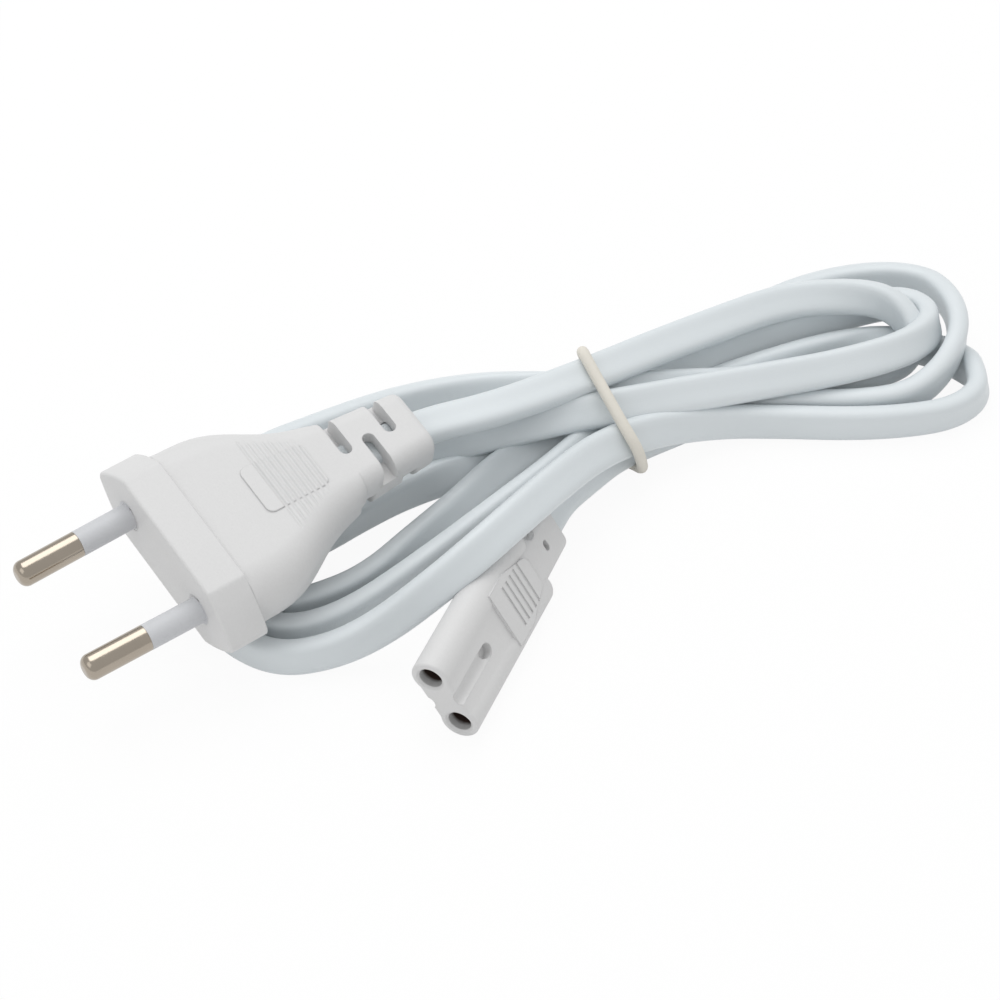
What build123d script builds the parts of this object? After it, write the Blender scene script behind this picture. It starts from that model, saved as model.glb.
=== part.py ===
import os
from math import atan2, cos, radians, sin, tan

from build123d import *

os.makedirs("parts", exist_ok=True)

# All sizes are in millimetres. The plug and the connector are each drawn in a frame of their own:
# the origin in the middle of the front face, +X back along the cord, +Y across, +Z out of the
# broad side that faces up. They are stood in their places on the table when they are written out.

# Flat two core cord
CORD_WIDTH = 5.8
CORD_THICKNESS = 3.4
CORE_DIAMETER = 2.1
CORE_OFFSET = 1.2
STRAND_DIAMETER = 1.1
STRAND_BARE = 1.5

# Plug front and pins
FACE_WIDTH = 35.3
FACE_HEIGHT = 13.7
FLANGE_DEPTH = 6.4
FLANGE_FLAT_WIDTH = 22.4
FLANGE_ARC_RADIUS = 26.0
FLANGE_TIP_HEIGHT = 1.0
FLANGE_CORNER = 1.1
FRONT_FILLET = 0.5
BACK_FILLET = 0.3
PIN_DIAMETER = 4.0
PIN_LENGTH = 19.0
PIN_SPACING_AT_FACE = 18.6
PIN_SPACING_AT_TIP = 18.1
PIN_TIP_FILLET = 1.3
BARE_PIN_LENGTH = 10.2
PIN_NECK_DIAMETER = 3.2
PIN_COLLAR_DIAMETER = 5.0
PIN_COLLAR_START = 2.6
PIN_COLLAR_LENGTH = 1.6
PIN_END = 12.0
CRIMP_BORE_DEPTH = 4.0
CORE_LEAD_OUT = 4.0
CORE_LEAD_IN = 4.6
SLEEVE_SEAT = 1.5
SLEEVE_ROOT_DIAMETER = 4.8

# Plug inner bridge, which holds both pins
BRIDGE_WIDTH = 25.0
BRIDGE_HEIGHT = 7.0
BRIDGE_DEPTH = 7.5
BRIDGE_CORNER = 1.5

# Plug strain relief
RELIEF_START = 30.8
RELIEF_LENGTH = 13.5
RELIEF_WIDTH = 13.2
RELIEF_END_WIDTH = 11.6
RELIEF_HEIGHT = 8.6
RELIEF_END_HEIGHT = 7.2
RELIEF_CORNER = 2.6
RELIEF_END_FILLET = 1.1
RELIEF_SLOT_WIDTH = 2.0
RELIEF_SLOT_COUNT = 3
RELIEF_SLOT_FIRST = 0.8
RELIEF_SLOT_PITCH = 3.95
RELIEF_SLOT_OVERLAP = 0.8
RELIEF_WEB = 1.0
SLOT_MOUTH_RADIUS = 0.8
JACKET_START = 28.5

# Plug body: distance behind the face, half width, half height and corner radius of each section
BODY_END_STEP = 0.3
BODY_SECTIONS = [
    (FLANGE_DEPTH, 15.35, 6.3, 5.6),
    (11.0, 15.05, 6.25, 5.5),
    (16.0, 13.9, 6.0, 5.3),
    (21.0, 11.1, 5.6, 4.9),
    (26.0, 8.7, 5.0, 4.2),
    (RELIEF_START, RELIEF_WIDTH / 2 + BODY_END_STEP, RELIEF_HEIGHT / 2, RELIEF_CORNER),
]

# Plug finger grip, on both broad sides
GRIP_START = 15.2
GRIP_END = 26.2
GRIP_WIDTH = 8.8
GRIP_END_WIDTH = 8.0
GRIP_RISE = 0.25
GRIP_TONGUE = 2.6
GRIP_CORNER = 1.2
RIDGE_COUNT = 8
RIDGE_HEIGHT = 0.3

# Connector: two round lobes side by side
LOBE_SPACING = 8.6
LOBE_DIAMETER = 5.9
WEB_HEIGHT = 5.3
BODY_LENGTH = 29.6
FACE_FILLET = 0.5
SHOULDER_FILLET = 1.5
GROOVE_RADIUS = 1.3
GROOVE_DEPTH = 0.8
GROOVE_LENGTH = 10.0
GROOVE_HOLE_DIAMETER = 2.3
GROOVE_HOLE_DEPTH = 1.4
PAD_START = 16.0
PAD_SHOULDER = 20.8
PAD_END = 27.0
PAD_WIDTH = 10.0
PAD_END_WIDTH = 5.6
PAD_CORNER = 1.5
PAD_RISE = 0.2
PAD_GROOVES = 5
PAD_GROOVE_FIRST = 3.2
PAD_GROOVE_PITCH = 1.3
PAD_GROOVE_WIDTH = 0.45
PAD_GROOVE_LENGTH = 7.4
NECK_WIDTH = 8.8
NECK_HEIGHT = 5.6
NECK_END_WIDTH = 8.6
NECK_END_HEIGHT = 5.2
NECK_OVERLAP = 4.0
NECK_LENGTH = 8.0
NECK_CORNER = 1.8
NECK_END_FILLET = 0.9
NECK_SLOT_BITE = 0.2
NECK_SLOT_WIDTH = 2.4
NECK_SLOT_START = 2.9
NECK_SLOT_PLACE = 1.3
NECK_HOLE_PLACE = 2.9
NECK_HOLE_WIDTH = 1.0
NECK_HOLE_LENGTH = 1.8
CONNECTOR_JACKET_START = 33.6
MOUTH_DIAMETER = 3.5
MOUTH_DEPTH = 4.5
MOUTH_LIP = 0.35

# Connector insert and its tube contacts
CARRIER_START = 12.0
CARRIER_WIDTH = 12.4
CARRIER_HEIGHT = 4.2
CARRIER_DEPTH = 6.0
CARRIER_CORNER = 1.2
CONTACT_DIAMETER = 3.0
CONTACT_BORE = 2.4
CONTACT_BORE_DEPTH = 9.0
CONTACT_LENGTH = 10.5
CONTACT_BARREL_DIAMETER = 2.2
CONTACT_BARREL_LENGTH = 4.5

# Where the two ends lie on the table
PLUG_PLACE = Plane(
    origin=(-60.1, 6.8, 15.0), x_dir=(0.9934, 0.1089, 0.0371), z_dir=(-0.0109, -0.2289, 0.9739)
)
CONNECTOR_PLACE = Plane(
    origin=(-34.5, -30.2, 6.75), x_dir=(0.797, 0.604, 0.0), z_dir=(0.518, -0.684, 0.514)
)

# The hank and its tie
BAND_X = 15.0
BAND_THICKNESS = 1.7
WAIST_LENGTH = 8.0
WAIST_CENTRE = (7.1, 9.0)
WAIST_WIDTH = 12.8
WAIST_HEIGHT = 13.6
WAIST_CORNER = 4.2
LEAD_ENTRY = 1.0
LEAD_STRAIGHT = 4.0
TURN_SHARE = 0.45
LOOP_HEIGHT = 5.0
LOOP_CORNER = 3.0
GAP_CORNER = 1.2
BAND_CLEARANCE = 0.05
LEFT_LOOPS = [
    (11.0, 13.5), (0.0, 23.1), (-13.0, 31.6), (-22.0, 34.6), (-33.0, 35.1), (-44.0, 31.6), (-52.0, 23.1),
    (-55.0, 9.1), (-54.0, -3.9), (-50.0, -10.4), (-40.0, -13.4), (-24.0, -11.9), (-14.0, -7.4), (-5.0, -0.4),
    (3.0, 4.1), (11.0, 5.6),
]
LEFT_GAP = [
    (-43.0, 3.1), (-34.0, 8.7), (-23.0, 10.4), (-12.0, 10.1), (-9.0, 7.6), (-12.0, 4.9), (-21.0, 3.9),
    (-34.0, 1.9),
]
RIGHT_LOOPS = [
    (19.0, 0.7), (31.0, -2.4), (41.0, -6.4), (58.0, -15.6), (66.0, -17.4), (73.0, -14.9), (76.5, -6.9),
    (79.2, 4.1), (78.0, 12.1), (73.5, 18.6), (66.0, 21.9), (56.0, 23.1), (30.0, 16.1), (19.0, 13.5),
]
# The heaped strands beside the tie: place along X, middle and size across, bottom and top
LEFT_HEAP = [(11.0, 9.8, 6.6, 2.4, 11.8), (-12.0, 16.1, 20.0, 0.0, LOOP_HEIGHT)]
RIGHT_HEAP = [(19.0, 7.1, 12.8, 2.2, 15.0), (62.0, 3.1, 18.0, 0.0, 10.5)]
HEAP_CORNER = 1.5


def show_radii(name, points, radii):
    """Print the radius of each turn of a cord's route."""
    print(name, "radii", [round(radius, 1) for radius in radii], "points", len(points))


def route_radii(points):
    """Largest tangent arc that the two runs at each inner point leave room for."""
    radii = []
    for before, corner, after in zip(points, points[1:], points[2:]):
        run_in = Vector(corner) - Vector(before)
        run_out = Vector(after) - Vector(corner)
        half_turn = radians(run_in.get_angle(run_out)) / 2
        radii.append(TURN_SHARE * min(run_in.length, run_out.length) / tan(half_turn))
    return radii


def hand_over(piece, name, place=Location()):
    """Stand a finished piece in its place, label it and write its file."""
    placed = piece.moved(place)
    placed.label = name
    export_step(placed, f"parts/{name}.step")
    return placed


def cord_section(width=CORD_WIDTH, height=CORD_THICKNESS):
    """The rounded outline of the flat cord, in the sketch that is open."""
    SlotOverall(width, height)


def sweep_round(name, points, diameter):
    """A round core along runs joined by tangent arcs."""
    radii = route_radii(points)
    show_radii(name, points, radii)
    with BuildPart() as core:
        with BuildLine() as route:
            FilletPolyline(*points, radius=radii)
        with BuildSketch(Plane(route.line @ 0, z_dir=route.line % 0)):
            Circle(diameter / 2)
        sweep()
    return core.part


# Pins, drawn along their own axes, which close in from the face to the tips
pin_lean = atan2((PIN_SPACING_AT_FACE - PIN_SPACING_AT_TIP) / 2, PIN_LENGTH)


def pin_plane(side):
    """The plane of one pin's half profile: X back along its axis, Y away from the axis."""
    return Plane(
        origin=(0, side * PIN_SPACING_AT_FACE / 2, 0),
        x_dir=(cos(pin_lean), side * sin(pin_lean), 0),
        z_dir=(0, 0, 1),
    )


def turned(plane, outline):
    """A solid turned round the plane's X axis from a half profile."""
    with BuildPart() as solid:
        with BuildSketch(plane):
            with BuildLine():
                Polyline(*outline, close=True)
            make_face()
        revolve(axis=Axis(plane.origin, plane.x_dir))
    return solid


def make_pin(side):
    """Plated pin: full diameter where it is bare, a neck under the sleeve, a collar, a crimp barrel."""
    full, neck, collar = PIN_DIAMETER / 2, PIN_NECK_DIAMETER / 2, PIN_COLLAR_DIAMETER / 2
    bare_end = BARE_PIN_LENGTH - PIN_LENGTH
    collar_end = PIN_COLLAR_START + PIN_COLLAR_LENGTH
    crimp_start = PIN_END - CRIMP_BORE_DEPTH
    outline = [
        (-PIN_LENGTH, 0), (-PIN_LENGTH, full), (bare_end, full), (bare_end, neck),
        (PIN_COLLAR_START, neck), (PIN_COLLAR_START, collar), (collar_end, collar), (collar_end, neck),
        (PIN_END, neck), (PIN_END, STRAND_DIAMETER / 2), (crimp_start, STRAND_DIAMETER / 2), (crimp_start, 0),
    ]
    pin = turned(pin_plane(side), outline)
    with pin:
        fillet(pin.edges().sort_by(Axis.X)[0], PIN_TIP_FILLET)
    return pin.part


def make_sleeve(side):
    """Insulating sleeve, level with the bare end of the pin, with a wider root behind the face."""
    inner, outer, root = PIN_NECK_DIAMETER / 2, PIN_DIAMETER / 2, SLEEVE_ROOT_DIAMETER / 2
    start = BARE_PIN_LENGTH - PIN_LENGTH
    outline = [
        (start, inner), (start, outer), (0, outer), (0, root), (SLEEVE_SEAT, root), (SLEEVE_SEAT, inner),
    ]
    return turned(pin_plane(side), outline).part


def make_plug_strands(side):
    """Bare copper, from the bottom of the crimp bore to the cut end of the insulation."""
    axis = pin_plane(side)
    bore_floor = axis.from_local_coords((PIN_END - CRIMP_BORE_DEPTH, 0, 0))
    with BuildPart() as strands:
        with BuildSketch(Plane(bore_floor, z_dir=axis.x_dir)):
            Circle(STRAND_DIAMETER / 2)
        extrude(amount=CRIMP_BORE_DEPTH + STRAND_BARE)
    return strands.part


def make_plug_core(side):
    """Insulated core, from its cut end behind the pin to the end of the jacket."""
    start = pin_plane(side).from_local_coords((PIN_END + STRAND_BARE, 0, 0))
    leave = pin_plane(side).from_local_coords((PIN_END + STRAND_BARE + CORE_LEAD_OUT, 0, 0))
    points = [
        tuple(start), tuple(leave),
        (JACKET_START - CORE_LEAD_IN, side * CORE_OFFSET, 0), (JACKET_START, side * CORE_OFFSET, 0),
    ]
    return sweep_round("plug core", points, CORE_DIAMETER)


live_pin, neutral_pin = make_pin(1), make_pin(-1)
live_pin_sleeve, neutral_pin_sleeve = make_sleeve(1), make_sleeve(-1)
plug_live_strands, plug_neutral_strands = make_plug_strands(1), make_plug_strands(-1)
plug_live_core, plug_neutral_core = make_plug_core(1), make_plug_core(-1)

with BuildPart() as pin_bridge:
    with BuildSketch(Plane.YZ.offset(SLEEVE_SEAT)):
        RectangleRounded(BRIDGE_WIDTH, BRIDGE_HEIGHT, BRIDGE_CORNER)
    extrude(amount=BRIDGE_DEPTH)
    add([live_pin, neutral_pin, live_pin_sleeve, neutral_pin_sleeve], mode=Mode.SUBTRACT)
    add([plug_live_strands, plug_neutral_strands], mode=Mode.SUBTRACT)

# The cord's own tube between the plug and the tie, in the plug's frame inside the strain relief


def to_table(place, point):
    """A point of one end's own frame, on the table."""
    return tuple(place.from_local_coords(point))


PLUG_LEAD_ROUTE = [
    to_table(PLUG_PLACE, (JACKET_START, 0, 0)),
    to_table(PLUG_PLACE, (JACKET_START + RELIEF_LENGTH + LEAD_STRAIGHT, 0, 0)),
    (-4.5, 11.2, 16.0),
    (3.5, 10.2, 14.4),
    (BAND_X - WAIST_LENGTH / 2 + LEAD_ENTRY, 10.2, 14.2),
]
CONNECTOR_LEAD_ROUTE = [
    to_table(CONNECTOR_PLACE, (CONNECTOR_JACKET_START, 0, 0)),
    to_table(CONNECTOR_PLACE, (BODY_LENGTH + NECK_LENGTH + LEAD_STRAIGHT / 2, 0, 0)),
    (5.0, -0.4, 5.8),
    (BAND_X - WAIST_LENGTH / 2 + LEAD_ENTRY, 2.4, 4.8),
]


def make_lead(name, points, wide_dir):
    """Flat cord along runs joined by tangent arcs."""
    radii = route_radii(points)
    show_radii(name, points, radii)
    with BuildPart() as lead:
        with BuildLine() as route:
            FilletPolyline(*points, radius=radii)
        with BuildSketch(Plane(route.line @ 0, x_dir=wide_dir, z_dir=route.line % 0)) as section:
            cord_section()
        sweep()
    length = route.wire().length
    print(name, "length", round(length, 1), "volume", round(lead.part.volume, 1),
          "section times length", round(section.sketch.area * length, 1))
    return lead.part


plug_lead = make_lead("plug lead", PLUG_LEAD_ROUTE, PLUG_PLACE.y_dir)
connector_lead = make_lead("connector lead", CONNECTOR_LEAD_ROUTE, CONNECTOR_PLACE.y_dir)

# Plug moulding


def body_half_height(distance):
    """Half height of the plug's body at a distance behind the face."""
    for (x0, _, h0, _), (x1, _, h1, _) in zip(BODY_SECTIONS, BODY_SECTIONS[1:]):
        if distance <= x1:
            return h0 + (h1 - h0) * (distance - x0) / (x1 - x0)
    return BODY_SECTIONS[-1][2]


def flange_outline():
    """Flat broad sides, slightly bowed flanks that close in towards the ends, and narrow tips."""
    top, end = FACE_HEIGHT / 2, FACE_WIDTH / 2
    flat, tip = FLANGE_FLAT_WIDTH / 2, FLANGE_TIP_HEIGHT / 2
    for side in (1, -1):
        Line((-flat, side * top), (flat, side * top))
        RadiusArc((flat, side * top), (end, side * tip), side * FLANGE_ARC_RADIUS)
        RadiusArc((-flat, side * top), (-end, side * tip), -side * FLANGE_ARC_RADIUS)
        Line((side * end, -tip), (side * end, tip))


def relief_half_width(along):
    """Half width of the strain relief at a distance behind the body."""
    return (RELIEF_WIDTH + (RELIEF_END_WIDTH - RELIEF_WIDTH) * along / RELIEF_LENGTH) / 2


def draw_slot(along, side):
    """One slot of the strain relief, open at one side, with a round end and rounded mouth corners."""
    mouth = relief_half_width(along)
    place = RELIEF_START + along
    end = RELIEF_SLOT_WIDTH / 2 - RELIEF_SLOT_OVERLAP
    with BuildSketch(mode=Mode.PRIVATE) as slot:
        with Locations((place, side * (mouth + end) / 2)):
            Rectangle(RELIEF_SLOT_WIDTH, mouth - end)
        with Locations((place, side * end)):
            Circle(RELIEF_SLOT_WIDTH / 2)
        with Locations((place, side * (mouth + RELIEF_SLOT_WIDTH / 2))):
            Rectangle(2 * RELIEF_SLOT_WIDTH, RELIEF_SLOT_WIDTH)
        corners = slot.vertices().filter_by_position(Axis.Y, side * mouth, side * mouth).filter_by_position(
            Axis.X, place - RELIEF_SLOT_WIDTH / 2, place + RELIEF_SLOT_WIDTH / 2)
        fillet(corners, SLOT_MOUTH_RADIUS)
    add(slot.sketch)


with BuildPart() as plug_housing:
    with BuildSketch(Plane.YZ) as front:
        with BuildLine():
            flange_outline()
        make_face()
        fillet(front.vertices(), FLANGE_CORNER)
    extrude(amount=FLANGE_DEPTH)
    fillet(plug_housing.faces().sort_by(Axis.X)[0].edges(), FRONT_FILLET)
    fillet(plug_housing.faces().sort_by(Axis.X)[-1].edges(), BACK_FILLET)
    for distance, half_width, half_height, corner in BODY_SECTIONS:
        with BuildSketch(Plane.YZ.offset(distance)):
            RectangleRounded(2 * half_width, 2 * half_height, corner)
    loft()
    with BuildSketch(Plane.YZ.offset(RELIEF_START)):
        RectangleRounded(RELIEF_WIDTH, RELIEF_HEIGHT, RELIEF_CORNER)
    with BuildSketch(Plane.YZ.offset(RELIEF_START + RELIEF_LENGTH)):
        RectangleRounded(RELIEF_END_WIDTH, RELIEF_END_HEIGHT, RELIEF_CORNER)
    loft()
    fillet(plug_housing.faces().sort_by(Axis.X)[-1].edges(), RELIEF_END_FILLET)

    # Slots that let the relief bend: they open to one side and the other by turns, turned over below
    for index in range(RELIEF_SLOT_COUNT):
        along = RELIEF_SLOT_FIRST + index * RELIEF_SLOT_PITCH
        side = 1 if index % 2 == 0 else -1
        for face in (1, -1):
            with BuildSketch(Plane.XY.offset(face * RELIEF_WEB / 2)):
                draw_slot(along, face * side)
            extrude(amount=face * RELIEF_HEIGHT, mode=Mode.SUBTRACT)

    # Finger grips: a low pad that follows the body's slope, with waves across it behind a plain tongue
    grip_length = GRIP_END - GRIP_START
    ridge_pitch = (grip_length - GRIP_TONGUE) / RIDGE_COUNT
    for face in (1, -1):
        front, back = body_half_height(GRIP_START), body_half_height(GRIP_END)
        slope = (grip_length, 0, face * (back - front))
        outward = (front - back, 0, face * grip_length)
        grip = Plane(origin=(GRIP_START, 0, face * front), x_dir=slope, z_dir=outward)
        with BuildSketch(grip.offset(-GRIP_RISE)) as pad:
            with BuildLine():
                Polyline(
                    (0, GRIP_WIDTH / 2), (grip_length, GRIP_END_WIDTH / 2),
                    (grip_length, -GRIP_END_WIDTH / 2), (0, -GRIP_WIDTH / 2), close=True,
                )
            make_face()
            fillet(pad.vertices(), GRIP_CORNER)
        extrude(amount=2 * GRIP_RISE)
        across = Plane(origin=grip.offset(GRIP_RISE).origin, x_dir=grip.x_dir, z_dir=-grip.y_dir)
        with BuildSketch(across):
            with BuildLine():
                for index in range(RIDGE_COUNT):
                    start = GRIP_TONGUE + index * ridge_pitch
                    middle = start + ridge_pitch / 2
                    crest = middle + ridge_pitch / 4
                    ThreePointArc(
                        (start, -RIDGE_HEIGHT / 2), ((start + middle) / 2, -RIDGE_HEIGHT),
                        (middle, -RIDGE_HEIGHT / 2))
                    ThreePointArc(
                        (middle, -RIDGE_HEIGHT / 2), (crest, 0), (start + ridge_pitch, -RIDGE_HEIGHT / 2))
                Polyline(
                    (GRIP_TONGUE, -RIDGE_HEIGHT / 2), (GRIP_TONGUE, GRIP_RISE),
                    (grip_length, GRIP_RISE), (grip_length, -RIDGE_HEIGHT / 2))
            make_face()
        extrude(amount=GRIP_WIDTH, both=True, mode=Mode.SUBTRACT)

    # The inner pieces fill their places in the moulding
    add(
        [
            pin_bridge.part, live_pin, neutral_pin, live_pin_sleeve, neutral_pin_sleeve,
            plug_live_strands, plug_neutral_strands, plug_live_core, plug_neutral_core,
            plug_lead.moved(PLUG_PLACE.location.inverse()),
        ],
        mode=Mode.SUBTRACT,
    )

# Connector insides, all parallel to the body


def make_contact(side):
    """Tube contact: a bore open to the front, a solid waist and a crimp barrel behind."""
    outer, bore, barrel = CONTACT_DIAMETER / 2, CONTACT_BORE / 2, CONTACT_BARREL_DIAMETER / 2
    shoulder = MOUTH_DEPTH + CONTACT_LENGTH
    bore_end = MOUTH_DEPTH + CONTACT_BORE_DEPTH
    crimp = STRAND_DIAMETER / 2
    crimp_start = CONTACT_END - CRIMP_BORE_DEPTH
    outline = [
        (bore_end, 0), (bore_end, bore), (MOUTH_DEPTH, bore), (MOUTH_DEPTH, outer),
        (shoulder, outer), (shoulder, barrel), (CONTACT_END, barrel), (CONTACT_END, crimp),
        (crimp_start, crimp), (crimp_start, 0),
    ]
    return turned(Plane(origin=(0, side * LOBE_SPACING / 2, 0)), outline).part


def make_connector_strands(side):
    """Bare copper in the contact's barrel, up to the cut end of the insulation."""
    with BuildPart() as strands:
        with BuildSketch(Plane.YZ.offset(CONTACT_END - CRIMP_BORE_DEPTH)):
            with Locations((side * LOBE_SPACING / 2, 0)):
                Circle(STRAND_DIAMETER / 2)
        extrude(amount=CRIMP_BORE_DEPTH + STRAND_BARE)
    return strands.part


def make_connector_core(side):
    """Insulated core, from behind the contact to the end of the jacket."""
    start = CONTACT_END + STRAND_BARE
    wide, close = side * LOBE_SPACING / 2, side * CORE_OFFSET
    points = [
        (start, wide, 0), (start + CORE_LEAD_OUT, wide, 0),
        (CONNECTOR_JACKET_START - CORE_LEAD_IN, close, 0), (CONNECTOR_JACKET_START, close, 0),
    ]
    return sweep_round("connector core", points, CORE_DIAMETER)


CONTACT_END = MOUTH_DEPTH + CONTACT_LENGTH + CONTACT_BARREL_LENGTH
live_contact, neutral_contact = make_contact(1), make_contact(-1)
connector_live_strands, connector_neutral_strands = make_connector_strands(1), make_connector_strands(-1)
connector_live_core, connector_neutral_core = make_connector_core(1), make_connector_core(-1)

with BuildPart() as contact_carrier:
    with BuildSketch(Plane.YZ.offset(CARRIER_START)):
        RectangleRounded(CARRIER_WIDTH, CARRIER_HEIGHT, CARRIER_CORNER)
    extrude(amount=CARRIER_DEPTH)
    with BuildSketch(Plane.YZ.offset(CARRIER_START)):
        with Locations((LOBE_SPACING / 2, 0), (-LOBE_SPACING / 2, 0)):
            Circle(CONTACT_DIAMETER / 2)
    extrude(amount=MOUTH_DEPTH + CONTACT_LENGTH - CARRIER_START, mode=Mode.SUBTRACT)
    add([live_contact, neutral_contact], mode=Mode.SUBTRACT)
    add([connector_live_strands, connector_neutral_strands], mode=Mode.SUBTRACT)

# Connector moulding
with BuildPart() as connector_housing:
    with BuildSketch(Plane.YZ):
        with Locations((LOBE_SPACING / 2, 0), (-LOBE_SPACING / 2, 0)):
            Circle(LOBE_DIAMETER / 2)
        Rectangle(LOBE_SPACING, WEB_HEIGHT)
    extrude(amount=BODY_LENGTH)
    fillet(connector_housing.faces().sort_by(Axis.X)[0].edges(), FACE_FILLET)
    fillet(connector_housing.faces().sort_by(Axis.X)[-1].edges(), SHOULDER_FILLET)
    with BuildSketch(Plane.YZ.offset(BODY_LENGTH - NECK_OVERLAP)):
        RectangleRounded(NECK_WIDTH, NECK_HEIGHT, NECK_CORNER)
    with BuildSketch(Plane.YZ.offset(BODY_LENGTH + NECK_LENGTH)):
        RectangleRounded(NECK_END_WIDTH, NECK_END_HEIGHT, NECK_CORNER)
    loft()
    fillet(connector_housing.faces().sort_by(Axis.X)[-1].edges(), NECK_END_FILLET)

    # Both broad sides have a round valley that ends in a hole, and a ribbed finger pad
    for face in (1, -1):
        with BuildSketch(Plane.YZ):
            with Locations((0, face * (WEB_HEIGHT / 2 - GROOVE_DEPTH + GROOVE_RADIUS))):
                Circle(GROOVE_RADIUS)
        extrude(amount=GROOVE_LENGTH, mode=Mode.SUBTRACT)
        with BuildSketch(Plane.XY.offset(face * (WEB_HEIGHT / 2 - GROOVE_HOLE_DEPTH))):
            with Locations((GROOVE_LENGTH, 0)):
                Circle(GROOVE_HOLE_DIAMETER / 2)
        extrude(amount=face * LOBE_DIAMETER, mode=Mode.SUBTRACT)
        with BuildSketch() as pad:
            with BuildLine():
                Polyline(
                    (PAD_START, PAD_WIDTH / 2), (PAD_SHOULDER, PAD_WIDTH / 2), (PAD_END, PAD_END_WIDTH / 2),
                    (PAD_END, -PAD_END_WIDTH / 2), (PAD_SHOULDER, -PAD_WIDTH / 2),
                    (PAD_START, -PAD_WIDTH / 2), close=True,
                )
            make_face()
            fillet(pad.vertices().sort_by(Axis.X)[2:], PAD_CORNER)
        extrude(amount=face * (LOBE_DIAMETER / 2 + PAD_RISE))
        with BuildSketch(Plane.XY.offset(face * LOBE_DIAMETER / 2)):
            for index in range(PAD_GROOVES):
                with Locations((PAD_START + PAD_GROOVE_FIRST + index * PAD_GROOVE_PITCH, 0)):
                    Rectangle(PAD_GROOVE_WIDTH, PAD_GROOVE_LENGTH)
        extrude(amount=face * LOBE_DIAMETER, mode=Mode.SUBTRACT)

        # Relief openings of the neck: a notch in one side and a small hole, turned over below
        with BuildSketch(Plane.XY.offset(face * (CORD_THICKNESS / 2 - NECK_SLOT_BITE))):
            with Locations((BODY_LENGTH + NECK_SLOT_PLACE, face * (NECK_SLOT_START + NECK_WIDTH / 2))):
                SlotOverall(NECK_WIDTH, NECK_SLOT_WIDTH, rotation=90)
            with Locations((BODY_LENGTH + NECK_HOLE_PLACE, 0)):
                SlotOverall(NECK_HOLE_LENGTH, NECK_HOLE_WIDTH, rotation=90)
        extrude(amount=face * NECK_HEIGHT, mode=Mode.SUBTRACT)

    # Mouths, with a small lead in
    with BuildSketch(Plane.YZ):
        with Locations((LOBE_SPACING / 2, 0), (-LOBE_SPACING / 2, 0)):
            Circle(MOUTH_DIAMETER / 2)
    extrude(amount=MOUTH_DEPTH, mode=Mode.SUBTRACT)
    with BuildSketch(Plane.YZ):
        with Locations((LOBE_SPACING / 2, 0), (-LOBE_SPACING / 2, 0)):
            Circle(MOUTH_DIAMETER / 2 + MOUTH_LIP)
    extrude(amount=MOUTH_LIP, taper=45, mode=Mode.SUBTRACT)

    # The inner pieces fill their places in the moulding; the tubes are open to the mouths
    with BuildSketch(Plane.YZ.offset(MOUTH_DEPTH)):
        with Locations((LOBE_SPACING / 2, 0), (-LOBE_SPACING / 2, 0)):
            Circle(CONTACT_DIAMETER / 2)
    extrude(amount=CONTACT_LENGTH, mode=Mode.SUBTRACT)
    add(
        [
            contact_carrier.part, live_contact, neutral_contact, connector_live_strands,
            connector_neutral_strands, connector_live_core, connector_neutral_core,
            connector_lead.moved(CONNECTOR_PLACE.location.inverse()),
        ],
        mode=Mode.SUBTRACT,
    )

# Elastic tie round the waist of the hank
waist = Plane.YZ.offset(BAND_X)
band_growth = BAND_THICKNESS + 2 * BAND_CLEARANCE
band_corner = WAIST_CORNER + band_growth / 2
with BuildPart() as elastic_band:
    with BuildSketch(waist, mode=Mode.PRIVATE) as ring:
        with Locations(WAIST_CENTRE):
            RectangleRounded(WAIST_WIDTH + band_growth, WAIST_HEIGHT + band_growth, band_corner)
    ring_path = ring.sketch.face().outer_wire()
    with BuildSketch(Plane(ring_path @ 0, z_dir=ring_path % 0)):
        Circle(BAND_THICKNESS / 2)
    sweep(path=ring_path)

# The tied loops, as one solid of their outer shape
with BuildPart() as hank:
    with BuildSketch(waist.offset(-WAIST_LENGTH / 2)):
        with Locations(WAIST_CENTRE):
            RectangleRounded(WAIST_WIDTH, WAIST_HEIGHT, WAIST_CORNER)
    extrude(amount=WAIST_LENGTH)
    for outline, gap in ((LEFT_LOOPS, LEFT_GAP), (RIGHT_LOOPS, None)):
        with BuildSketch() as loops:
            with BuildLine():
                Polyline(*outline, close=True)
            make_face()
            fillet(loops.vertices(), LOOP_CORNER)
            if gap:
                with BuildSketch(mode=Mode.SUBTRACT) as opening:
                    with BuildLine():
                        Polyline(*gap, close=True)
                    make_face()
                    fillet(opening.vertices(), GAP_CORNER)
        extrude(amount=LOOP_HEIGHT)
    for heap in (LEFT_HEAP, RIGHT_HEAP):
        for along, middle, width, bottom, top in heap:
            with BuildSketch(Plane.YZ.offset(along)):
                with Locations((middle, (bottom + top) / 2)):
                    RectangleRounded(width, top - bottom, HEAP_CORNER)
        loft()
    add([plug_lead, connector_lead], mode=Mode.SUBTRACT)

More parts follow.
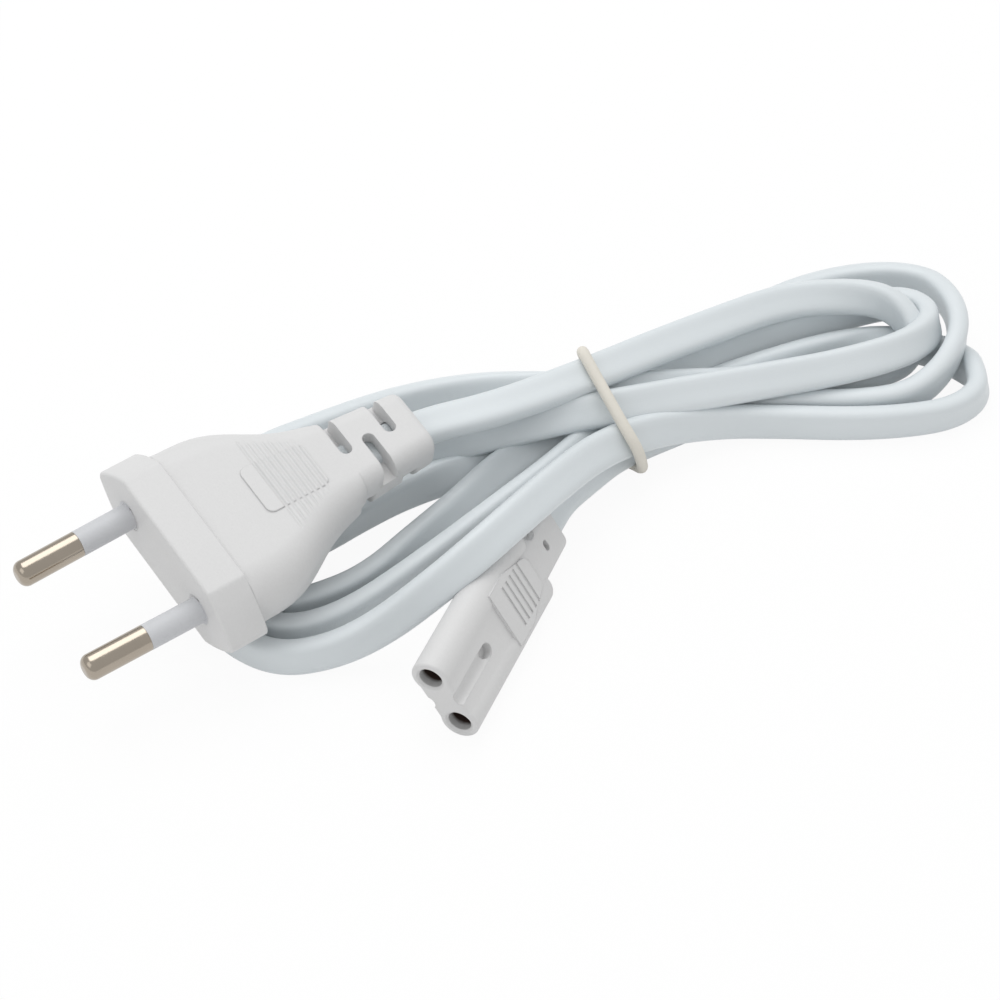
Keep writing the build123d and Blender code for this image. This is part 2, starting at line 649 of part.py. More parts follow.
plug_pieces = {
    "plug_housing": plug_housing.part, "pin_bridge": pin_bridge.part,
    "live_pin": live_pin, "neutral_pin": neutral_pin,
    "live_pin_sleeve": live_pin_sleeve, "neutral_pin_sleeve": neutral_pin_sleeve,
    "plug_live_core": plug_live_core, "plug_neutral_core": plug_neutral_core,
    "plug_live_strands": plug_live_strands, "plug_neutral_strands": plug_neutral_strands,
}
connector_pieces = {
    "connector_housing": connector_housing.part, "contact_carrier": contact_carrier.part,
    "live_contact": live_contact, "neutral_contact": neutral_contact,
    "connector_live_core": connector_live_core, "connector_neutral_core": connector_neutral_core,
    "connector_live_strands": connector_live_strands, "connector_neutral_strands": connector_neutral_strands,
}
table_pieces = {
    "plug_lead": plug_lead, "hank": hank.part, "connector_lead": connector_lead,
    "elastic_band": elastic_band.part,
}
placed = []
for place, pieces in (
    (PLUG_PLACE.location, plug_pieces),
    (CONNECTOR_PLACE.location, connector_pieces),
    (Location(), table_pieces),
):
    for name, piece in pieces.items():
        placed.append(hand_over(piece, name, place))
for piece in placed:
    print(piece.label, "volume", round(piece.volume, 1), "valid", piece.is_valid)
cord = Compound(children=placed)
box = cord.bounding_box()
print("box", [round(value, 2) for value in (*box.min, *box.max)])
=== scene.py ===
"""Looks of a flat power cord: a two pin plug, a tied hank and a figure eight connector."""

import math

import bmesh
import bpy
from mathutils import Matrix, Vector


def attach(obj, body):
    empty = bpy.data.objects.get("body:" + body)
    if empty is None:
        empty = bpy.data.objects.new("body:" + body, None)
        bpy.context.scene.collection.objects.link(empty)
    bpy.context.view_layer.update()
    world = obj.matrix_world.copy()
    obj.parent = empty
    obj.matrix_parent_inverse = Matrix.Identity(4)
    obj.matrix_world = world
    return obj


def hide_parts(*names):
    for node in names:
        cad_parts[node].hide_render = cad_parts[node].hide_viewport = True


bl_info = {
    "name": "Tied power cord",
    "version": (1, 0, 0),
    "blender": (4, 5, 0),
    "location": "View3D > Sidebar > Power Cord",
    "description": "Builds the looks of a flat power cord that is tied in a hank",
    "category": "Object",
}

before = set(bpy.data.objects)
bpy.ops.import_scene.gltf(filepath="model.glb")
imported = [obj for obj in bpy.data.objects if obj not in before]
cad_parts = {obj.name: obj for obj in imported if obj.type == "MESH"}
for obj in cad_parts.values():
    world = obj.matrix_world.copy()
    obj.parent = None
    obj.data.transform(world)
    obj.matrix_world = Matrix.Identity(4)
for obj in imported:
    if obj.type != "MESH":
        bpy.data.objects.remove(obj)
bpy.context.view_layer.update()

# The cord's route, in metres, and the roll of its broad side in degrees: 0 lies flat, 90 stands on edge
ROUTE = [
    # out of the plug's relief
    (-0.0316, 0.0099, 0.0161, 13), (-0.0233, 0.0108, 0.0164, 13), (-0.0144, 0.0118, 0.0158, 13),
    # over the top to the first far turn
    (-0.0042, 0.0099, 0.0156, 14), (0.0058, 0.0100, 0.0148, 18), (0.0163, 0.0103, 0.0142, 22),
    (0.0255, 0.0113, 0.0132, 26), (0.0374, 0.0121, 0.0120, 30), (0.0513, 0.0129, 0.0105, 32),
    (0.0611, 0.0100, 0.0095, 45), (0.0668, 0.0065, 0.0088, 75), (0.0686, 0.0023, 0.0074, 90),
    # back under the top strand
    (0.0682, -0.0015, 0.0052, 95), (0.0628, -0.0033, 0.0038, 115), (0.0534, -0.0007, 0.0046, 130),
    (0.0434, 0.0024, 0.0055, 138), (0.0360, 0.0041, 0.0064, 140), (0.0276, 0.0069, 0.0079, 145),
    (0.0152, 0.0093, 0.0108, 155),
    # behind the plug
    (0.0080, 0.0131, 0.0116, 140), (-0.0003, 0.0195, 0.0101, 120), (-0.0080, 0.0249, 0.0074, 105),
    (-0.0150, 0.0289, 0.0046, 95), (-0.0238, 0.0309, 0.0030, 90), (-0.0328, 0.0312, 0.0029, 90),
    # round the outer near loop
    (-0.0415, 0.0290, 0.0029, 90), (-0.0490, 0.0245, 0.0029, 90), (-0.0538, 0.0163, 0.0029, 90),
    (-0.0552, 0.0074, 0.0029, 90),
    # over the connector's neck to the tie
    (-0.0542, -0.0015, 0.0029, 90), (-0.0500, -0.0085, 0.0029, 90), (-0.0426, -0.0115, 0.0036, 85),
    (-0.0353, -0.0132, 0.0064, 70), (-0.0269, -0.0151, 0.0128, 52), (-0.0199, -0.0147, 0.0160, 45),
    (-0.0112, -0.0115, 0.0161, 42), (-0.0009, -0.0059, 0.0133, 42), (0.0093, -0.0003, 0.0094, 45),
    # low to the outer far turn
    (0.0194, 0.0009, 0.0078, 60), (0.0317, 0.0003, 0.0041, 80), (0.0406, -0.0037, 0.0029, 90),
    (0.0501, -0.0097, 0.0029, 90), (0.0582, -0.0136, 0.0029, 90), (0.0652, -0.0157, 0.0029, 90),
    (0.0712, -0.0145, 0.0029, 85), (0.0740, -0.0103, 0.0027, 70), (0.0737, -0.0053, 0.0021, 150),
    # back under the others
    (0.0704, 0.0001, 0.0021, 168), (0.0650, 0.0037, 0.0025, 150), (0.0564, 0.0059, 0.0033, 105),
    (0.0450, 0.0060, 0.0048, 120), (0.0340, 0.0075, 0.0042, 110), (0.0240, 0.0068, 0.0029, 100),
    (0.0150, 0.0069, 0.0039, 150),
    # under the plug
    (0.0030, 0.0083, 0.0026, 175), (-0.0085, 0.0108, 0.0042, 140), (-0.0170, 0.0122, 0.0032, 100),
    (-0.0255, 0.0114, 0.0029, 90), (-0.0335, 0.0100, 0.0029, 90),
    # round the inner near loop
    (-0.0406, 0.0100, 0.0029, 90), (-0.0462, 0.0083, 0.0029, 90), (-0.0478, 0.0047, 0.0029, 90),
    (-0.0460, 0.0007, 0.0029, 90),
    # up to the tie
    (-0.0410, -0.0009, 0.0029, 90), (-0.0315, -0.0012, 0.0029, 88), (-0.0206, 0.0019, 0.0037, 66),
    (-0.0127, 0.0039, 0.0046, 52), (-0.0043, 0.0068, 0.0056, 42), (0.0056, 0.0092, 0.0056, 25),
    (0.0150, 0.0103, 0.0060, 35),
    # behind the top strand
    (0.0260, 0.0117, 0.0072, 25), (0.0395, 0.0117, 0.0056, 50), (0.0530, 0.0115, 0.0052, 65),
    (0.0628, 0.0100, 0.0053, 80),
    # round the second far turn
    (0.0699, 0.0079, 0.0058, 90), (0.0726, 0.0045, 0.0061, 90), (0.0720, -0.0001, 0.0071, 102),
    # along the middle to the tie
    (0.0684, -0.0032, 0.0080, 118), (0.0623, -0.0040, 0.0080, 135), (0.0520, -0.0021, 0.0078, 140),
    (0.0427, 0.0001, 0.0082, 140), (0.0277, 0.0030, 0.0096, 140), (0.0150, 0.0051, 0.0111, 135),
    # under the plug again
    (0.0070, 0.0075, 0.0110, 135), (-0.0020, 0.0113, 0.0090, 135), (-0.0110, 0.0153, 0.0064, 105),
    (-0.0235, 0.0185, 0.0034, 90), (-0.0350, 0.0191, 0.0029, 90),
    # round the middle near loop
    (-0.0438, 0.0175, 0.0029, 90), (-0.0498, 0.0129, 0.0029, 90), (-0.0518, 0.0061, 0.0029, 90),
    (-0.0501, -0.0009, 0.0029, 90), (-0.0449, -0.0053, 0.0029, 90),
    # to the tie
    (-0.0362, -0.0059, 0.0029, 90), (-0.0243, -0.0048, 0.0048, 75), (-0.0094, -0.0025, 0.0074, 62),
    (0.0035, 0.0012, 0.0074, 50), (0.0150, 0.0061, 0.0066, 25),
    # low behind the others
    (0.0270, 0.0113, 0.0034, 15), (0.0390, 0.0159, 0.0029, 80), (0.0485, 0.0191, 0.0029, 90),
    # round the third far turn
    (0.0570, 0.0201, 0.0030, 90), (0.0660, 0.0185, 0.0034, 85), (0.0736, 0.0149, 0.0040, 80),
    (0.0780, 0.0101, 0.0046, 80), (0.0782, 0.0045, 0.0059, 98), (0.0762, -0.0013, 0.0067, 92),
    (0.0726, -0.0061, 0.0066, 90), (0.0668, -0.0093, 0.0050, 90), (0.0606, -0.0098, 0.0034, 90),
    (0.0534, -0.0071, 0.0030, 90),
    # low under the middle strand
    (0.0450, -0.0019, 0.0029, 90), (0.0350, 0.0027, 0.0029, 90), (0.0240, 0.0031, 0.0030, 95),
    (0.0140, 0.0021, 0.0043, 110),
    # out of the tie to the connector
    (0.0070, -0.0007, 0.0052, 115), (0.0005, -0.0037, 0.0065, 120), (-0.0034, -0.0066, 0.0067, 121),
    (-0.0076, -0.0098, 0.0067, 121),
]

# The cord's rounded outline, a little hollow between its two cores: across and through it, as shares of
# half its width and half its thickness
OUTLINE = [
    (1.0, 0.42), (0.76, 1.0), (0.0, 0.88), (-0.76, 1.0), (-1.0, 0.42),
    (-1.0, -0.42), (-0.76, -1.0), (0.0, -0.88), (0.76, -1.0), (1.0, -0.42),
]

# The middle of the elastic tie, a ring that leans with the strands, in metres
TIE = [
    (0.0177, 0.0144, 0.0080), (0.0148, 0.0140, 0.0154), (0.0139, 0.0125, 0.0175), (0.0135, 0.0101, 0.0172),
    (0.0137, 0.0000, 0.0123), (0.0145, -0.0030, 0.0094), (0.0152, -0.0033, 0.0064), (0.0172, -0.0007, 0.0015),
    (0.0168, 0.0017, 0.0009), (0.0154, 0.0037, 0.0009), (0.0160, 0.0081, 0.0012), (0.0180, 0.0137, 0.0044),
]

# The connector's two mouths: a point on the axis of each, and the way into both
MOUTHS = [(-0.02866, -0.0230, 0.01044), (-0.02599, -0.02653, 0.00306)]
MOUTH_AXIS = (0.797, 0.604, 0)
# Where the connector's face lies along that way, and how far a mouth reaches round its axis and behind
# the face
MOUTH_FACE = -0.04574
MOUTH_RADIUS = 0.00185
MOUTH_DEPTH = 0.005
# How far in a mouth's wall the painted shade begins, how much that wanders, and how fast it darkens, per
# metre: shade painted into the walls' colour, darker further in
PAINTED_SHADE_FROM = 0.0014
PAINTED_SHADE_WANDER = 0.0004
PAINTED_SHADE_RISE = 1600

# Edges that fold by less than this many degrees are shaded smooth
SHARP_FOLD = 32

# Where the camera stands, in metres, and how it is turned, in degrees
CAMERA_PLACE = (-0.16527, -0.27248, 0.33287)
CAMERA_TURN = (44, 0, -30)
# How much of its whiteness the floor has on its own, as the camera and reflections see it
FLOOR_GLOW = 0.93


class Value:
    """A number that varies over a surface, so that a finish can be written as sums."""

    def __init__(self, finish, socket):
        self.finish = finish
        self.socket = socket

    def maths(self, operation, *values):
        node = self.finish.node("ShaderNodeMath", {"operation": operation}, dict(enumerate(values)))
        return Value(self.finish, node.outputs[0])

    def __add__(self, other):
        return self.maths("ADD", self, other)

    __radd__ = __add__

    def __sub__(self, other):
        return self.maths("SUBTRACT", self, other)

    def __mul__(self, other):
        return self.maths("MULTIPLY", self, other)

    __rmul__ = __mul__

    def held(self):
        """The number kept between 0 and 1."""
        return self.maths("MINIMUM", self.maths("MAXIMUM", self, 0.0), 1.0)


class Finish:
    """One material and its nodes."""

    def __init__(self, name, colour, **shader):
        """Start from an even colour and the shader's own numbers."""
        self.material = bpy.data.materials.new(name)
        self.material.use_nodes = True
        self.tree = self.material.node_tree
        self.shader = self.tree.nodes["Principled BSDF"]
        self.shader.inputs["Base Color"].default_value = (*colour, 1)
        for socket, value in shader.items():
            self.shader.inputs[socket].default_value = value

    def node(self, kind, settings, inputs):
        """Add a node: its settings first, then the values or links of its sockets."""
        node = self.tree.nodes.new(kind)
        for name, value in settings.items():
            setattr(node, name, value)
        for name, value in inputs.items():
            if isinstance(value, Value):
                value = value.socket
            if isinstance(value, bpy.types.NodeSocket):
                self.tree.links.new(value, node.inputs[name])
            else:
                node.inputs[name].default_value = value
        return node

    def place(self, scale=(1, 1, 1), coordinates="Object"):
        """Where a point lies on the piece, stretched by scale."""
        source = self.node("ShaderNodeTexCoord", {}, {})
        return self.node("ShaderNodeMapping", {}, {
            "Vector": source.outputs[coordinates], "Scale": scale,
        }).outputs[0]

    def noise(self, scale, detail, stretch=(1, 1, 1), coordinates="Object"):
        """Clouds between 0 and 1."""
        node = self.node("ShaderNodeTexNoise", {}, {
            "Vector": self.place(stretch, coordinates), "Scale": scale, "Detail": detail,
        })
        return Value(self, node.outputs["Fac"])

    def pits(self, scale):
        """Rounded cells, for the spark grain of a mould."""
        node = self.node("ShaderNodeTexVoronoi", {"feature": "SMOOTH_F1"}, {
            "Vector": self.place(), "Scale": scale, "Smoothness": 0.7,
        })
        return Value(self, node.outputs["Distance"])

    def tint(self, amount, first, second):
        """Colour that goes from first to second with amount."""
        mix = self.node("ShaderNodeMix", {"data_type": "RGBA"}, {
            0: amount, 6: (*first, 1), 7: (*second, 1),
        })
        self.tree.links.new(mix.outputs[2], self.shader.inputs["Base Color"])

    def vary(self, socket, value):
        """Let one of the shader's numbers vary over the surface."""
        self.tree.links.new(value.socket, self.shader.inputs[socket])

    def relief(self, height, depth, strength, round_edges=0.0):
        """Fine relief of the surface, over edges that look rounded by a radius."""
        inputs = {"Height": height, "Distance": depth, "Strength": strength}
        if round_edges:
            soft = self.node("ShaderNodeBevel", {"samples": 6}, {"Radius": round_edges})
            inputs["Normal"] = soft.outputs[0]
        bump = self.node("ShaderNodeBump", {}, inputs)
        self.tree.links.new(bump.outputs[0], self.shader.inputs["Normal"])


def shade(colour, share):
    """A colour made darker or lighter by a share."""
    return tuple(min(1.0, channel * share) for channel in colour)


def moulding_finish(name, colour, edge):
    """Soft moulding: spark grain, faint flow clouds and soft edges."""
    finish = Finish(name, colour, IOR=1.48)
    clouds = finish.noise(90, detail=3)
    grain = finish.pits(2600)
    speck = finish.noise(3800, detail=2)
    finish.tint((clouds * 0.7 + grain * 0.5).held(), shade(colour, 0.965), shade(colour, 1.02))
    finish.vary("Roughness", (0.42 + clouds * 0.12 + speck * 0.08).held())
    finish.relief(grain + speck * 0.5, depth=0.000035, strength=0.5, round_edges=edge)
    return finish.material


def jacket_finish(name, colour):
    """Extruded cord jacket: smooth, a little glossy, with faint drawn lines along it."""
    finish = Finish(name, colour, IOR=1.5)
    clouds = finish.noise(60, detail=3)
    smear = finish.noise(420, detail=3)
    lines = finish.noise(60, detail=2, stretch=(1.5, 26, 1), coordinates="UV")
    finish.tint((clouds * 0.55 + lines * 0.5).held(), shade(colour, 0.95), shade(colour, 1.03))
    finish.vary("Roughness", (0.26 + smear * 0.14 + lines * 0.08).held())
    finish.relief(lines * 0.8 + smear * 0.5, depth=0.00003, strength=0.5)
    return finish.material


def elastic_finish(name, colour):
    """Matte elastic tie: a cloudy colour and a dusty bloom."""
    finish = Finish(name, colour, IOR=1.45)
    clouds = finish.noise(260, detail=3)
    dust = finish.noise(2200, detail=2)
    finish.tint((clouds * 0.8 + dust * 0.3).held(), shade(colour, 0.9), shade(colour, 1.04))
    finish.vary("Roughness", (0.62 + dust * 0.2).held())
    finish.relief(dust + clouds, depth=0.00006, strength=0.6)
    return finish.material


def plated_finish(name, colour):
    """Glossy plating, a little worn, with turning marks round the pin."""
    finish = Finish(name, colour, Metallic=1.0)
    marks = finish.noise(900, detail=2, stretch=(6, 0.4, 0.4))
    wear = finish.noise(160, detail=3)
    finish.tint((wear * 0.8 + marks * 0.2).held(), shade(colour, 0.88), shade(colour, 1.08))
    finish.vary("Roughness", (0.1 + marks * 0.08 + wear * 0.08).held())
    finish.relief(marks, depth=0.000012, strength=0.5, round_edges=0.0002)
    return finish.material


def plain_finish(name, colour, roughness, metallic=0.0):
    """Inner piece: a cloudy colour and a fine grain."""
    finish = Finish(name, colour, Metallic=metallic)
    clouds = finish.noise(500, detail=3)
    finish.tint(clouds.held(), shade(colour, 0.88), shade(colour, 1.08))
    finish.vary("Roughness", (roughness - 0.08 + clouds * 0.16).held())
    finish.relief(clouds, depth=0.00003, strength=0.4)
    return finish.material


def show(mesh, name, material, *nodes, slot):
    """Stand a finished mesh in the scene in place of CAD nodes."""
    mesh.materials.clear()
    mesh.materials.append(material)
    piece = bpy.data.objects.new(name, mesh)
    bpy.context.scene.collection.objects.link(piece)
    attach(piece, "root")
    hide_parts(*nodes)
    return piece


def smooth_copy(node, name, material, slot):
    """The CAD node's own form with its seams closed and its curved faces shaded smooth."""
    form = bmesh.new()
    form.from_mesh(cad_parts[node].data)
    bmesh.ops.remove_doubles(form, verts=form.verts, dist=1e-6)
    bmesh.ops.dissolve_degenerate(form, edges=form.edges, dist=1e-7)
    for edge in form.edges:
        edge.smooth = edge.calc_face_angle(0) < math.radians(SHARP_FOLD)
    for face in form.faces:
        face.smooth = True
    mesh = bpy.data.meshes.new(name)
    form.to_mesh(mesh)
    form.free()
    return show(mesh, name, material, node, slot=slot)


def dress(node, material):
    """Give a CAD node that stays as it is its finish."""
    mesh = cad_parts[node].data
    mesh.materials.clear()
    mesh.materials.append(material)


class CordSizes(bpy.types.PropertyGroup):
    """The flat cord."""

    width: bpy.props.FloatProperty(
        name="Width", description="Across the flat cord", default=0.0058, unit="LENGTH")
    thickness: bpy.props.FloatProperty(
        name="Thickness", description="Through the flat cord", default=0.0034, unit="LENGTH")
    steps: bpy.props.IntProperty(
        name="Steps", description="Divisions between two points of the route", default=8)
    colour: bpy.props.FloatVectorProperty(
        name="Colour", description="Jacket colour", default=(0.69, 0.735, 0.757), subtype="COLOR")


class TieSizes(bpy.types.PropertyGroup):
    """The elastic tie."""

    thickness: bpy.props.FloatProperty(
        name="Thickness", description="Through the elastic", default=0.0018, unit="LENGTH")
    colour: bpy.props.FloatVectorProperty(
        name="Colour", description="Elastic colour", default=(0.74, 0.71, 0.64), subtype="COLOR")


class MouldingLooks(bpy.types.PropertyGroup):
    """The plug's and the connector's mouldings."""

    colour: bpy.props.FloatVectorProperty(
        name="Colour", description="Moulding colour", default=(0.67, 0.67, 0.67), subtype="COLOR")
    edge: bpy.props.FloatProperty(
        name="Edge", description="Radius of the soft edges", default=0.00025, unit="LENGTH")
    sleeve: bpy.props.FloatVectorProperty(
        name="Sleeves", description="Colour of the pin sleeves", default=(0.58, 0.59, 0.61), subtype="COLOR")
    plating: bpy.props.FloatVectorProperty(
        name="Plating", description="Colour of the pin metal", default=(0.42, 0.37, 0.31), subtype="COLOR")
    # The colour of the painted shade deep in the connector's mouths
    mouth: bpy.props.FloatVectorProperty(
        name="Mouths", description="Colour inside the mouths", default=(0.055, 0.032, 0.026), subtype="COLOR")


class StageLooks(bpy.types.PropertyGroup):
    """Floor, lights and camera."""

    lens: bpy.props.FloatProperty(
        name="Lens", description="Focal length of the camera", default=108.0, min=1.0)
    key: bpy.props.FloatProperty(
        name="Key", description="Power of the large soft light in watts", default=3.2)
    fill: bpy.props.FloatProperty(
        name="Fill", description="Power of the side light in watts", default=0.5)
    sky: bpy.props.FloatProperty(
        name="Sky", description="Strength of the room's light", default=0.7)


class POWER_CORD_OT_stage(bpy.types.Operator):
    """Set up the camera, a pale floor and soft studio light"""

    bl_idname = "power_cord.stage"
    bl_label = "Stage"

    def execute(self, context):
        looks = context.scene.power_cord_stage
        add_camera(looks.lens)
        add_floor()
        light_room(looks.sky)
        add_light("key", place=(0.1, 0.35, 0.75), target=(0.02, 0.0, 0.0), size=0.7, power=looks.key)
        add_light("fill", place=(-0.6, -0.1, 0.5), target=(-0.02, 0.0, 0.0), size=0.5, power=looks.fill)
        context.scene.view_settings.view_transform = "Standard"
        return {"FINISHED"}


def add_camera(focal_length):
    """The camera at the photograph's place."""
    lens = bpy.data.cameras.new("camera")
    lens.lens = focal_length
    lens.sensor_width = 36
    lens.clip_start = 0.01
    lens.clip_end = 20
    camera = bpy.data.objects.new("camera", lens)
    camera.location = CAMERA_PLACE
    camera.rotation_euler = [math.radians(turn) for turn in CAMERA_TURN]
    bpy.context.scene.collection.objects.link(camera)
    bpy.context.scene.camera = camera


def add_floor():
    """A wide flat floor under the cord."""
    form = bmesh.new()
    bmesh.ops.create_grid(form, x_segments=1, y_segments=1, size=3)
    ground = bpy.data.meshes.new("floor")
    form.to_mesh(ground)
    form.free()
    ground.materials.append(floor_finish())
    floor = bpy.data.objects.new("floor", ground)
    bpy.context.scene.collection.objects.link(floor)


def light_room(strength):
    """An even white light from all round."""
    world = bpy.data.worlds.new("room")
    world.use_nodes = True
    bpy.context.scene.world = world
    room = world.node_tree.nodes["Background"]
    room.inputs["Color"].default_value = (1, 1, 1, 1)
    room.inputs["Strength"].default_value = strength


def add_light(name, place, target, size, power):
    """A square soft light that looks at a point."""
    lamp = bpy.data.lights.new(name, "AREA")
    lamp.size = size
    lamp.energy = power
    light = bpy.data.objects.new(name, lamp)
    light.location = place
    light.rotation_euler = (Vector(target) - Vector(place)).to_track_quat("-Z", "Y").to_euler()
    bpy.context.scene.collection.objects.link(light)


def floor_finish():
    """White paper that the camera and reflections see as white, with a faint shadow."""
    finish = Finish("floor", (0.9, 0.9, 0.9), Roughness=0.9)
    rays = finish.node("ShaderNodeLightPath", {}, {})
    seen = Value(finish, rays.outputs["Is Camera Ray"])
    seen = (seen + Value(finish, rays.outputs["Is Glossy Ray"])).held()
    seen = (seen + Value(finish, rays.outputs["Is Transmission Ray"])).held()
    white = finish.node("ShaderNodeEmission", {}, {"Color": (1, 1, 1, 1), "Strength": 1.0})
    mix = finish.node("ShaderNodeMixShader", {}, {0: seen * FLOOR_GLOW})
    finish.tree.links.new(finish.shader.outputs[0], mix.inputs[1])
    finish.tree.links.new(white.outputs[0], mix.inputs[2])
    output = finish.tree.nodes["Material Output"]
    finish.tree.links.new(mix.outputs[0], output.inputs[0])
    return finish.material


class POWER_CORD_OT_cord(bpy.types.Operator):
    """Lay the flat cord along its route from the plug to the connector"""

    bl_idname = "power_cord.cord"
    bl_label = "Cord"

    def execute(self, context):
        sizes = context.scene.power_cord_cord
        route = lay_route(sizes)
        outline = section_outline(sizes)
        route.data.bevel_mode = "OBJECT"
        route.data.bevel_object = outline
        tube = take_mesh(route, "cord")
        bpy.data.objects.remove(outline)
        show(tube, "cord", jacket_finish("cord_white", sizes.colour),
             "plug_lead", "hank", "connector_lead", slot="cord_white")
        return {"FINISHED"}


class POWER_CORD_OT_declare(bpy.types.Operator):
    """Lay the cord's route again and read the points it runs through"""

    bl_idname = "power_cord.declare"
    bl_label = "Declare the cord"

    def execute(self, context):
        sizes = context.scene.power_cord_cord
        path = [tuple(vertex.co) for vertex in take_mesh(lay_route(sizes), "path").vertices]
        return {"FINISHED"}


def lay_spline(name, places, steps, closed):
    """An object with one smooth curve that keeps close to its points."""
    curve = bpy.data.curves.new(name, "CURVE")
    curve.dimensions = "3D"
    spline = curve.splines.new("NURBS")
    spline.points.add(len(places) - 1)
    for point, place in zip(spline.points, places):
        point.co = (*place, 1)
    spline.order_u = 3
    spline.use_cyclic_u = closed
    spline.use_endpoint_u = not closed
    spline.resolution_u = steps
    holder = bpy.data.objects.new(name, curve)
    bpy.context.scene.collection.objects.link(holder)
    return holder


def lay_route(sizes):
    """The bare route of the cord, rolled as it goes."""
    places = [place for *place, roll in ROUTE]
    route = lay_spline("route", places, sizes.steps, closed=False)
    route.data.twist_mode = "Z_UP"
    for point, (*place, roll) in zip(route.data.splines[0].points, ROUTE):
        point.tilt = math.radians(roll)
    return route


def section_outline(sizes):
    """The flat cord's rounded outline, a closed curve for the route to carry."""
    across, through = sizes.width / 2, sizes.thickness / 2
    places = [(x * across, y * through, 0) for x, y in OUTLINE]
    outline = lay_spline("outline", places, steps=3, closed=True)
    outline.data.dimensions = "2D"
    return outline


def take_mesh(holder, name):
    """The smooth mesh that a curve makes, in place of the curve itself."""
    bpy.context.view_layer.update()
    depsgraph = bpy.context.evaluated_depsgraph_get()
    mesh = bpy.data.meshes.new_from_object(holder.evaluated_get(depsgraph))
    mesh.name = name
    for face in mesh.polygons:
        face.use_smooth = True
    bpy.data.objects.remove(holder)
    return mesh


class POWER_CORD_OT_tie(bpy.types.Operator):
    """Put the elastic tie round the strands"""

    bl_idname = "power_cord.tie"
    bl_label = "Elastic tie"

    def execute(self, context):
        looks = context.scene.power_cord_tie
        ring = lay_spline("ring", TIE, steps=8, closed=True)
        ring.data.bevel_depth = looks.thickness / 2
        ring.data.bevel_resolution = 5
        loop = take_mesh(ring, "tie")
        show(loop, "tie", elastic_finish("tie_cream", looks.colour), "elastic_band", slot="tie_cream")
        return {"FINISHED"}


class POWER_CORD_OT_mouldings(bpy.types.Operator):
    """Give the plug and the connector their soft mouldings"""

    bl_idname = "power_cord.mouldings"
    bl_label = "Plug and connector mouldings"

    def execute(self, context):
        looks = context.scene.power_cord_moulding
        white = moulding_finish("moulding_white", looks.colour, looks.edge)
        smooth_copy("plug_housing", "plug_moulding", white, "moulding_white")
        connector = smooth_copy("connector_housing", "connector_moulding", white, "moulding_white")
        # The mouths' walls get painted shade, dark further in
        paint_mouth_walls_shade(connector.data, painted_shade_finish("mouth_painted_shade", looks.colour, looks.mouth))
        return {"FINISHED"}


def painted_shade_finish(name, colour, painted_shade_colour):
    """Finish of a mouth's wall with painted shade: a darker copy of the moulding's colour at the rim, painted
    dark further in.
    """
    finish = Finish(name, colour, Roughness=0.55)
    inward = finish.node("ShaderNodeVectorMath", {"operation": "DOT_PRODUCT"}, {
        0: finish.place(), 1: MOUTH_AXIS,
    })
    depth = Value(finish, inward.outputs["Value"]) - MOUTH_FACE
    clouds = finish.noise(900, detail=3)
    # Painted shade: the wall's colour goes dark with depth into the mouth
    painted_shade_amount = ((depth - PAINTED_SHADE_FROM + clouds * PAINTED_SHADE_WANDER) * PAINTED_SHADE_RISE).held()
    finish.tint(painted_shade_amount, shade(colour, 0.82), painted_shade_colour)
    finish.relief(clouds, depth=0.00003, strength=0.4)
    return finish.material


def paint_mouth_walls_shade(mesh, material):
    """Give the inner walls of the two mouths their own finish, with painted shade that darkens further in."""
    mesh.materials.append(material)
    along = Vector(MOUTH_AXIS).normalized()
    for face in mesh.polygons:
        depth = face.center.dot(along) - MOUTH_FACE
        across_the_way = abs(face.normal.dot(along)) > 0.5
        if depth > MOUTH_DEPTH or across_the_way:
            continue
        for mouth in MOUTHS:
            offset = face.center - Vector(mouth)
            offset -= offset.dot(along) * along
            if offset.length < MOUTH_RADIUS:
                face.material_index = 1


class POWER_CORD_OT_pins(bpy.types.Operator):
    """Plate the pins and give their sleeves and the contacts their finish"""

    bl_idname = "power_cord.pins"
    bl_label = "Pins and contacts"

    def execute(self, context):
        looks = context.scene.power_cord_moulding
        plated = plated_finish("pin_metal", looks.plating)
        sleeve = moulding_finish("sleeve_grey", looks.sleeve, edge=0.0001)
        metal = plain_finish("contact_metal", (0.12, 0.09, 0.07), roughness=0.4, metallic=1.0)
        for side in ("live", "neutral"):
            smooth_copy(f"{side}_pin", f"{side}_pin_metal", plated, "pin_metal")
            smooth_copy(f"{side}_pin_sleeve", f"{side}_sleeve", sleeve, "sleeve_grey")
            smooth_copy(f"{side}_contact", f"{side}_tube", metal, "contact_metal")
        return {"FINISHED"}


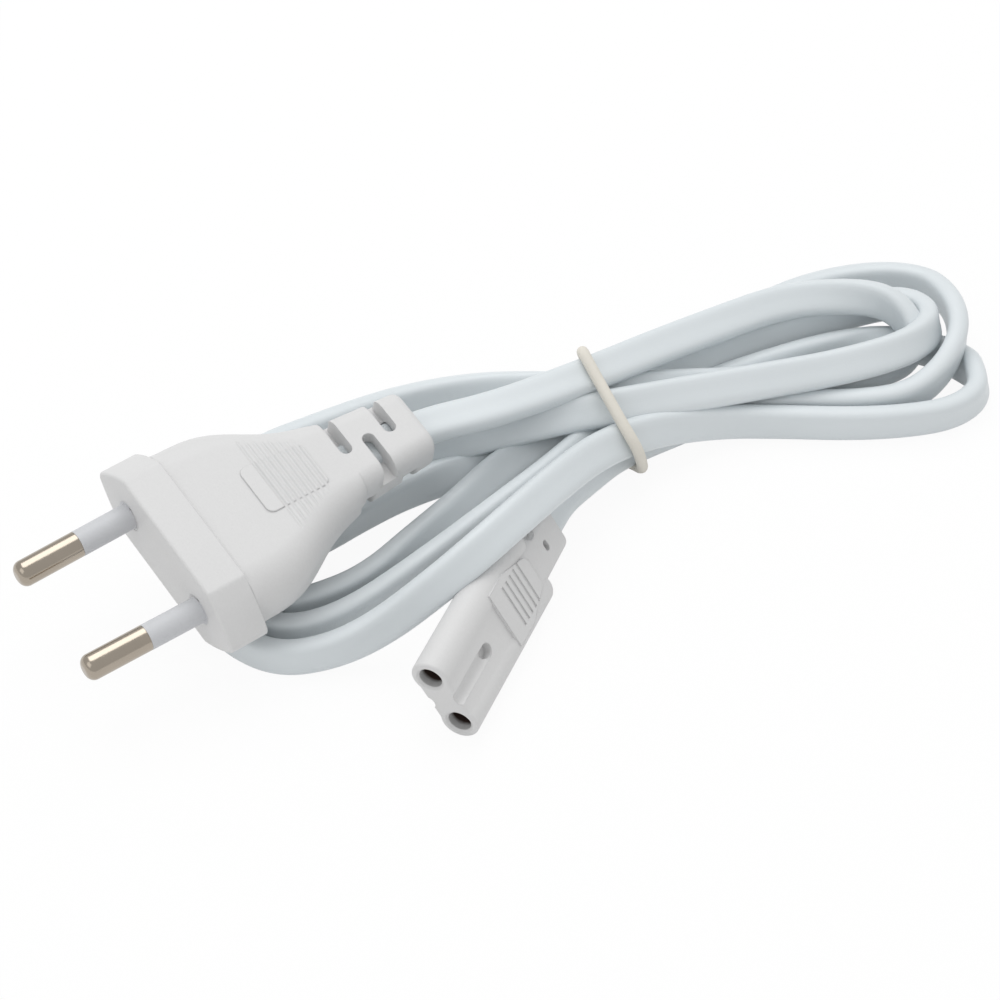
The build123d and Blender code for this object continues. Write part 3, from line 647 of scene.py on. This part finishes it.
class POWER_CORD_OT_insides(bpy.types.Operator):
    """Finish the inserts, cores and strands inside the mouldings"""

    bl_idname = "power_cord.insides"
    bl_label = "Inner pieces"

    def execute(self, context):
        insert = plain_finish("insert_white", (0.72, 0.70, 0.66), roughness=0.5)
        copper = plain_finish("copper", (0.72, 0.35, 0.2), roughness=0.35, metallic=1.0)
        brown = plain_finish("core_brown", (0.12, 0.05, 0.025), roughness=0.45)
        blue = plain_finish("core_blue", (0.03, 0.1, 0.38), roughness=0.45)
        for node in ("pin_bridge", "contact_carrier"):
            dress(node, insert)
        for end in ("plug", "connector"):
            dress(f"{end}_live_core", brown)
            dress(f"{end}_neutral_core", blue)
            dress(f"{end}_live_strands", copper)
            dress(f"{end}_neutral_strands", copper)
        return {"FINISHED"}


class POWER_CORD_PT_panel(bpy.types.Panel):
    """Sizes, colours and steps of the power cord"""

    bl_idname = "POWER_CORD_PT_panel"
    bl_label = "Power cord"
    bl_space_type = "VIEW_3D"
    bl_region_type = "UI"
    bl_category = "Power Cord"

    def draw(self, context):
        for name in SETTINGS:
            group = getattr(context.scene, name)
            for field in group.bl_rna.properties:
                if field.identifier not in ("rna_type", "name"):
                    self.layout.prop(group, field.identifier)
        for step in STEPS:
            self.layout.operator(step.bl_idname)


SETTINGS = {
    "power_cord_cord": CordSizes,
    "power_cord_tie": TieSizes,
    "power_cord_moulding": MouldingLooks,
    "power_cord_stage": StageLooks,
}
STEPS = (
    POWER_CORD_OT_stage,
    POWER_CORD_OT_cord,
    POWER_CORD_OT_tie,
    POWER_CORD_OT_mouldings,
    POWER_CORD_OT_pins,
    POWER_CORD_OT_insides,
    POWER_CORD_OT_declare,
)


def register():
    for settings in SETTINGS.values():
        bpy.utils.register_class(settings)
    for name, settings in SETTINGS.items():
        setattr(bpy.types.Scene, name, bpy.props.PointerProperty(type=settings))
    for step in STEPS:
        bpy.utils.register_class(step)
    bpy.utils.register_class(POWER_CORD_PT_panel)


def unregister():
    bpy.utils.unregister_class(POWER_CORD_PT_panel)
    for step in reversed(STEPS):
        bpy.utils.unregister_class(step)
    for name in SETTINGS:
        delattr(bpy.types.Scene, name)
    for settings in reversed(SETTINGS.values()):
        bpy.utils.unregister_class(settings)


def main():
    register()
    bpy.ops.power_cord.stage()
    bpy.ops.power_cord.cord()
    bpy.ops.power_cord.tie()
    bpy.ops.power_cord.mouldings()
    bpy.ops.power_cord.pins()
    bpy.ops.power_cord.insides()
    bpy.ops.power_cord.declare()


if __name__ == "__main__":
    main()
